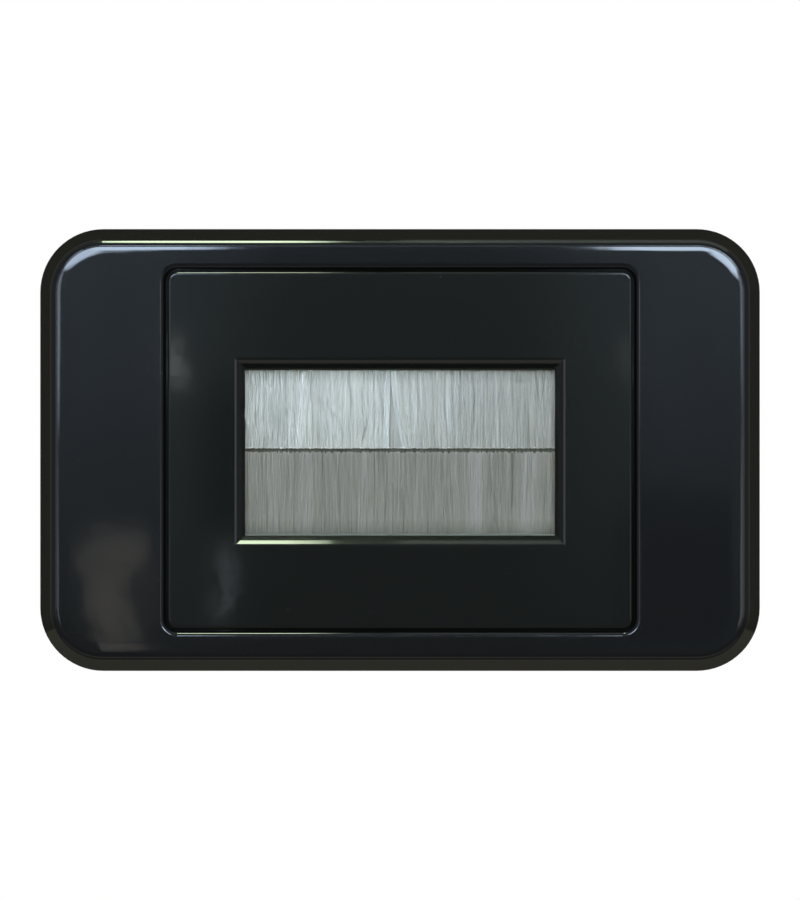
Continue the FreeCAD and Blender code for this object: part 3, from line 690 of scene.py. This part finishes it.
def one_screw(head, head_height, shank, shank_length, dome, pitch):
    """A pan-head tapping screw on the Y axis: its head's top at y 0, its point to the front."""
    mesh = bmesh.new()
    around, dome_steps, rows_a_turn = 40, 6, 4
    # shares: how much of the dome is used, where its edge turns in and how far, and the neck
    crown, turn_in, undercut, neck = 0.999, 0.7, 0.25, 1.02
    # the cross recess: its arms' reach, half their width, their depth, and the depth in the middle
    reach_out, arm_half = head * 0.62, head * 0.16
    arm_depth, middle_depth, recess_ends = head_height * 0.55, head_height * 0.58, dome * 0.9
    # the thread's depth, the sharpness of its crests, and how the point tapers, as shares
    thread_depth, sharpness, taper_rate, point = 0.3, 2.4, 3.2, 0.08

    def ring(place, *measures):
        """Vertices round the axis, where place gives the radius and the depth at an angle."""
        made = []
        for k in range(around):
            angle = k / around * math.tau
            radius, depth = place(angle, *measures)
            spot = (radius * math.cos(angle), -depth, radius * math.sin(angle))
            made.append(mesh.verts.new(spot))
        return made

    def join(inner, outer):
        """Faces between two rings, or between a point and a ring."""
        for k in range(around):
            nxt = (k + 1) % around
            if len(inner) == 1:
                mesh.faces.new((inner[0], outer[k], outer[nxt]))
            else:
                mesh.faces.new((inner[k], outer[k], outer[nxt], inner[nxt]))

    def sunk(angle, radius, depth):
        """The cross recess sinks the middle of the head along two arms."""
        if depth >= recess_ends:
            return radius, depth
        across = min(abs(math.cos(angle)), abs(math.sin(angle))) * radius
        reach = max(0.0, 1 - (radius / reach_out) ** 4)
        arm = max(0.0, 1 - (across / arm_half) ** 4)
        return radius, depth + arm_depth * reach * arm

    def threaded(angle, down):
        """The thread winds down the shank, which tapers to its point."""
        phase = (down * shank_length / pitch - angle / math.tau) % 1.0
        crest = 1 - thread_depth * min(1.0, abs(phase - 0.5) * sharpness)
        taper = min(1.0, (1 - down) * taper_rate + point)
        return shank * crest * taper, head_height + down * shank_length

    # a domed head, turned from its profile: distance from the axis, then depth below the top
    edge = head_height - dome
    profile = []
    for step in range(1, dome_steps + 1):
        angle = step / dome_steps * math.pi / 2
        profile.append((head * math.sin(angle), dome * (1 - math.cos(angle)) * crown))
    profile.append((head, dome + edge * turn_in))
    profile += [(head - edge * undercut, head_height), (shank * neck, head_height)]
    rings = [[mesh.verts.new((0, -middle_depth, 0))]]
    rings += [ring(sunk, radius, depth) for radius, depth in profile]
    for inner, outer in zip(rings, rings[1:]):
        join(inner, outer)
    # the shank, row by row
    rows = int(shank_length / pitch * rows_a_turn)
    last = rings[-1]
    for row in range(1, rows + 1):
        turned = ring(threaded, row / rows)
        join(last, turned)
        last = turned
    mesh.faces.new(last)
    bmesh.ops.recalc_face_normals(mesh, faces=mesh.faces)
    for face in mesh.faces:
        face.smooth = True
    made = bpy.data.meshes.new("clamp_screw")
    mesh.to_mesh(made)
    mesh.free()
    return made


# Operators


class PLATE_OT_mouldings(bpy.types.Operator):
    """Finish the cover, the grid plate and the clamp bars as black ABS mouldings"""

    bl_idname = "plate.mouldings"
    bl_label = "Finish the mouldings"

    def execute(self, context):
        finish = context.scene.plate_moulding
        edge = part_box("cover_plate")[1]
        outline = (edge.x, edge.z, PLATE_CORNER)
        cover = polished_abs("Polished_moulded_ABS_cover", finish.cover_colour, finish, outline)
        panel = polished_abs("Polished_moulded_ABS_panel", finish.panel_colour, finish)
        bars = satin_abs("Spark_grained_moulded_ABS", finish.bar_colour, finish)
        finish_node("cover_plate", cover)
        finish_node("grid_plate", panel)
        finish_node("upper_clamp_bar", bars)
        finish_node("lower_clamp_bar", bars)
        return {"FINISHED"}


class PLATE_OT_strips(bpy.types.Operator):
    """Finish the crimped channels and the core wires as plated and drawn steel"""

    bl_idname = "plate.strips"
    bl_label = "Finish the brush strips"

    def execute(self, context):
        metal = context.scene.plate_metal
        plated = zinc_plate("Galvanised_rolled_steel", metal.strip, metal)
        wire = drawn_wire("Hard_drawn_steel_wire", metal.drawn)
        for row in ("upper", "lower"):
            finish_node(f"{row}_brush_channel", plated)
            finish_node(f"{row}_core_wire", wire)
        return {"FINISHED"}


class PLATE_OT_bristles(bpy.types.Operator):
    """Grow the two rows of nylon bristles out of their strips"""

    bl_idname = "plate.bristles"
    bl_label = "Grow the bristles"

    def execute(self, context):
        sizes = context.scene.plate_brush
        material = nylon_bristle("Extruded_nylon_filament", sizes)
        tree, keys = bristle_tree()
        # each habit, of the upper and of the lower row
        habits = {
            "Seed": (3, 11),
            "Depth": (1.2 * MM, 1.8 * MM),
            "Overlap": (0.0, 0.8 * MM),
            "Ragged": (0.8 * sizes.ragged, -1.25 * sizes.ragged),
            "Lean": (-0.85 * MM, -0.6 * MM),
            "Sway": (sizes.upper_sway, sizes.lower_sway),
            "Bow": (sizes.upper_bow, sizes.lower_bow),
            "Wisp": (0.4, 0.0),
            "Band": (0.0, 0.18),
            "Cleft": (sizes.cleft, -20.4 * MM),
            "Cleft right": (sizes.cleft_open, 0.15 * MM),
            "Cleft left": (-0.4 * MM, -0.15 * MM),
            "Cleft reach": (3.2 * MM, 1.0 * MM),
            "Cleft shade": (1.4, 0.0),
            "Parting": (-12.0 * MM, sizes.parting),
            "Parting open": (0.0, 0.09 * MM),
        }
        for column, row in enumerate(("upper", "lower")):
            node = f"{row}_bristles"
            low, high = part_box(node)
            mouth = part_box(f"{row}_brush_channel")
            upper = row == "upper"
            # the upper row stands a little further forward
            forward = 0.05 * MM if upper else 0.0
            values = {
                "Material": material,
                "Count": sizes.count,
                "Filament": sizes.filament,
                "Width": high.x - low.x - 2 * sizes.edge,
                "Middle": (mouth[0].y + mouth[1].y) / 2 - forward,
                "Root": mouth[0].z + ROOT_DEPTH if upper else mouth[1].z - ROOT_DEPTH,
                "Tip": low.z if upper else high.z,
            }
            values |= {label: pair[column] for label, pair in habits.items()}
            piece = grown(f"{row}_bristle_row", tree, keys, values)
            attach(piece, "root")
            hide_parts(node)
        return {"FINISHED"}


class PLATE_OT_screws(bpy.types.Operator):
    """Set four pan-head screws in the ends of the clamp bars"""

    bl_idname = "plate.screws"
    bl_label = "Set the screws"

    def execute(self, context):
        metal = context.scene.plate_metal
        material = zinc_plate("Zinc_plated_screw_steel", metal.zinc, metal)
        low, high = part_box("clamp_screws")
        lower_bar, upper_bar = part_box("lower_clamp_bar"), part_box("upper_clamp_bar")
        bar = upper_bar[1].y
        lower_z = (lower_bar[0].z + lower_bar[1].z) / 2
        upper_z = (upper_bar[0].z + upper_bar[1].z) / 2
        head = high.z - upper_z
        head_height = high.y - bar
        dome = min(metal.dome, head_height * 0.7)
        screw = one_screw(head, head_height, SCREW_SHANK, bar - low.y, dome, metal.thread)
        tree, keys = screw_tree()
        values = {
            "Material": material,
            "Wide": (high.x - low.x) - 2 * head,
            "Tall": upper_z - lower_z,
            "Middle": (0.0, high.y, (upper_z + lower_z) / 2),
            "Seed": 5,
        }
        piece = grown("clamp_screw_set", tree, keys, values, screw)
        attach(piece, "root")
        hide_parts("clamp_screws")
        return {"FINISHED"}


class PLATE_OT_studio(bpy.types.Operator):
    """Build the camera, the soft room light, the lamps and the pale floor"""

    bl_idname = "plate.studio"
    bl_label = "Build the studio"

    def execute(self, context):
        scene = context.scene
        studio = scene.plate_studio
        scene.view_settings.view_transform = "Standard"

        lens = bpy.data.cameras.new("photo_camera")
        lens.sensor_width = SENSOR
        lens.lens = SENSOR * studio.distance / studio.view_tall
        lens.clip_end = 20.0
        camera = bpy.data.objects.new("photo_camera", lens)
        camera.location = (0, -studio.distance, 0)
        camera.rotation_euler = (math.radians(90), 0, 0)
        scene.collection.objects.link(camera)
        scene.camera = camera

        self.room(scene, studio)
        into, up, down = (0, 1, 0), (0, 0, 1), (0, 0, -1)
        # name: place, size, radiance, colour, seen in reflections, and aim where it isn't the plate
        lamps = {
            "canopy": ((0.22, 0.0, 0.55), (0.46, 0.56), 0.5, "#E4F6E6", True, down),
            "window_right": ((0.172, -0.6, 0.185), (0.257, 0.150), 22.0, "#DDE8F6", False, into),
            "window_left": ((-0.178, -0.6, 0.185), (0.245, 0.150), 15.0, "#DCE8FA", False, into),
            "edge_right": ((0.39, -0.6, 0.0), (0.06, 0.2), 0.8, "#E6EEF6", True, into),
            "edge_left": ((-0.39, -0.6, 0.0), (0.06, 0.2), 0.8, "#E6EEF6", True, into),
            "front_fill": ((0.0, -1.2, 0.1), (0.4, 0.4), 13.0, "#FFFAEA", False, None),
            "upper_glow": ((-0.016, -0.042, 0.011), (0.02, 0.02), 7.4, "#E0F0FC", True, None),
            "table": ((0, -0.075, -0.212), (0.6, 0.07), 0.3, "#F2EFD8", True, up),
            "bounce": ((0, 0.58, -0.215), (1.0, 1.0), 0.05, "#F2F0DC", True, up),
            "floor_wash": ((0, 0, -0.1), (3.0, 3.0), 0.8, "#FFFFFF", False, down),
            "back_right": ((0.5, 0.8, 0.35), (0.4, 0.4), 22.0, "#FFFFFF", False, None),
            "back_left": ((-0.5, 0.8, 0.25), (0.4, 0.4), 14.0, "#FFFFFF", False, None),
        }
        for name, (place, size, radiance, tint, mirrored, aim) in lamps.items():
            lamp = bpy.data.lights.new(name, "AREA")
            lamp.shape = "RECTANGLE"
            lamp.size, lamp.size_y = size
            lamp.energy = radiance * math.pi * size[0] * size[1] * studio.lamps
            lamp.color = linear(tint)[:3]
            held = bpy.data.objects.new(name, lamp)
            held.location = place
            way = Vector(aim) if aim else -Vector(place)
            held.rotation_euler = way.to_track_quat("-Z", "Y").to_euler()
            held.visible_camera = False
            held.visible_glossy = mirrored
            scene.collection.objects.link(held)
        # the glow is for the upper bristles alone
        lit = bpy.data.collections.new("upper_glow_receivers")
        lit.objects.link(bpy.data.objects["upper_bristle_row"])
        bpy.data.objects["upper_glow"].light_linking.receiver_collection = lit
        bpy.data.lights["upper_glow"].spread = math.radians(100)
        self.cards(scene, studio)

        board = bmesh.new()
        bmesh.ops.create_grid(board, x_segments=6, y_segments=6, size=1.5)
        bmesh.ops.translate(board, verts=board.verts, vec=(0, 0, -studio.drop))
        mesh = bpy.data.meshes.new("studio_floor")
        board.to_mesh(mesh)
        board.free()
        floor = bpy.data.objects.new("studio_floor", mesh)
        mesh.materials.append(matt_floor("Matt_painted_board", studio.floor_colour))
        floor.visible_glossy = False
        floor.visible_diffuse = False
        scene.collection.objects.link(floor)
        return {"FINISHED"}

    def cards(self, scene, studio):
        """Two shaded cards, before and above the plate, seen only where the polish mirrors them."""
        away = 600 * MM
        above = 500 * MM
        # a point on the plate shows a card this much further out
        front = 1 + away / studio.distance
        over = 1 + above / studio.distance
        # first what shows on the plate, then the windows above it, then the walls beside it
        room = (
            ((-44.8, -22.5), (5.6, 11.5), 0, "#E4DED2", 1.0),
            ((-44.8, -85), (5.6, 60), 0, "#E4DED2", 1.0),
            ((-40.6, -23.5), (1.1, 6), 5, "#6A6862", 1.0),
            ((-34.6, 14), (1.1, 4.6), 6, "#E8ECEC", 2.2),
            ((-27.5, -20), (1.2, 7.5), -8, "#CDD6E0", 1.2),
            ((35.6, 14), (1.1, 4), 0, "#C4CACC", 1.2),
            ((46, -20), (14, 16), 0, "#31302A", 1.0),
            ((-28, -2), (4.5, 15), 0, "#262A27", 1.0),
            ((-104.5, 136), (70, 70), -15, "#D2E6FF", 12.5),
            ((-52, 160), (26, 42), 0, "#D2E6FF", 15.0),
            ((136, 124), (70, 72), 0, "#D2E6FC", 15.5),
            ((56, 152), (26, 40), 0, "#D2E6FC", 15.5),
            ((-184, 44), (40, 44), 0, "#D2E2F6", 3.6),
            ((-198, -42), (36, 46), 0, "#DDE6F0", 1.6),
            ((190, 52), (38, 48), 0, "#CFE0F4", 3.0),
            ((194, -42), (40, 52), 0, "#E8ECEC", 1.5),
        )
        strip = (((-29.5, -50), (20.5, 200), 0, "#E8FBD6", 19.0),)
        # each card: its spans in millimetres, how it lies, what a spot shows, and its material
        spots = {
            "mirrored_card": (
                ((-310, 310), (-200, 280)),
                lambda x, up: (x, -away, up),
                lambda spot: (spot.x / front / MM, spot.z / front / MM),
                shaded_card("Shaded_reflector_card", "#3E4138", "#86979F", room),
            ),
            "strip_card": (
                ((-80, 0), (-250, 630)),
                lambda x, back: (x, back, above),
                lambda spot: (spot.x / over / MM, spot.y / MM),
                shaded_card("Shaded_strip_card", "#000000", "#000000", strip),
            ),
        }
        for name, (((left, right), (low, high)), lay, where, material) in spots.items():
            sheet = bmesh.new()
            corners = ((left, low), (left, high), (right, high), (right, low))
            face = sheet.faces.new(
                [sheet.verts.new(lay(first * MM, second * MM)) for first, second in corners]
            )
            shown = sheet.loops.layers.uv.new("shown")
            for loop in face.loops:
                loop[shown].uv = where(loop.vert.co)
            mesh = bpy.data.meshes.new(name)
            sheet.to_mesh(mesh)
            sheet.free()
            mesh.materials.append(material)
            piece = bpy.data.objects.new(name, mesh)
            piece.visible_camera = False
            piece.visible_diffuse = False
            piece.visible_shadow = False
            scene.collection.objects.link(piece)

    def room(self, scene, studio):
        """A white surround for the camera, and a soft room for light and reflections."""
        world = bpy.data.worlds.new("studio_room")
        scene.world = world
        world.use_nodes = True
        tree = world.node_tree
        tree.nodes.clear()
        way = add_node(tree, "ShaderNodeTexCoord").outputs["Generated"]
        axes = add_node(tree, AXES, {0: way})
        facing = add_node(tree, MATHS, {0: axes.outputs["Y"], 1: -1.0}, operation="MULTIPLY")
        angle = add_node(tree, MATHS, {0: facing}, operation="ARCCOSINE")
        part = add_node(tree, MATHS, {0: angle, 1: math.pi}, operation="DIVIDE")
        # brightness by the angle from straight in front, in shares of half a turn
        ramp = add_node(tree, "ShaderNodeValToRGB", {0: part})
        stops = [
            *((0.0, "#5A5E60"), (0.03, "#5A5E60"), (0.06, "#5E6262"), (0.12, "#6A6D6C")),
            *((0.4, "#767876"), (0.5, "#7A7B78"), (0.8, "#686963"), (0.86, "#2C2C24")),
            *((0.89, "#2C2C24"), (0.94, "#D0D0CC"), (1.0, "#F0F0EC")),
        ]
        shades = ramp.color_ramp.elements
        shades[0].position, shades[0].color = stops[0][0], linear(stops[0][1])
        shades[1].position, shades[1].color = stops[-1][0], linear(stops[-1][1])
        for position, code in stops[1:-1]:
            shades.new(position).color = linear(code)
        below = add_node(tree, RANGE, {0: axes.outputs["Z"], 1: -0.3, 2: -0.08, 3: 0.5, 4: 1.0})
        power = add_node(tree, MATHS, {0: below, 1: studio.sky}, operation="MULTIPLY")
        room = add_node(tree, "ShaderNodeBackground", {"Color": ramp, "Strength": power})
        white = add_node(tree, "ShaderNodeBackground", {"Color": linear("#FFFFFF")})
        seen = add_node(tree, "ShaderNodeLightPath").outputs["Is Camera Ray"]
        both = add_node(tree, "ShaderNodeMixShader", {0: seen, 1: room, 2: white})
        add_node(tree, "ShaderNodeOutputWorld", {"Surface": both})


class PLATE_PT_pieces(bpy.types.Panel):
    """Lists the steps that dress the wall plate"""

    bl_idname = "PLATE_PT_pieces"
    bl_label = "Wall plate"
    bl_space_type = "VIEW_3D"
    bl_region_type = "UI"
    bl_category = "Wall plate"

    def draw(self, context):
        for step in STEPS:
            self.layout.operator(step.bl_idname)


STEPS = (
    PLATE_OT_mouldings,
    PLATE_OT_strips,
    PLATE_OT_bristles,
    PLATE_OT_screws,
    PLATE_OT_studio,
)
GROUPS = {
    "plate_moulding": MouldingFinish,
    "plate_brush": BrushSizes,
    "plate_metal": MetalFinish,
    "plate_studio": StudioSettings,
}


def register():
    for kind in (*GROUPS.values(), *STEPS, PLATE_PT_pieces):
        bpy.utils.register_class(kind)
    for name, kind in GROUPS.items():
        setattr(bpy.types.Scene, name, bpy.props.PointerProperty(type=kind))


def unregister():
    for name in GROUPS:
        delattr(bpy.types.Scene, name)
    for kind in (PLATE_PT_pieces, *reversed(STEPS), *reversed(GROUPS.values())):
        bpy.utils.unregister_class(kind)


def main():
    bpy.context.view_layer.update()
    register()
    bpy.ops.plate.mouldings()
    bpy.ops.plate.strips()
    bpy.ops.plate.bristles()
    bpy.ops.plate.screws()
    bpy.ops.plate.studio()


if __name__ == "__main__":
    main()
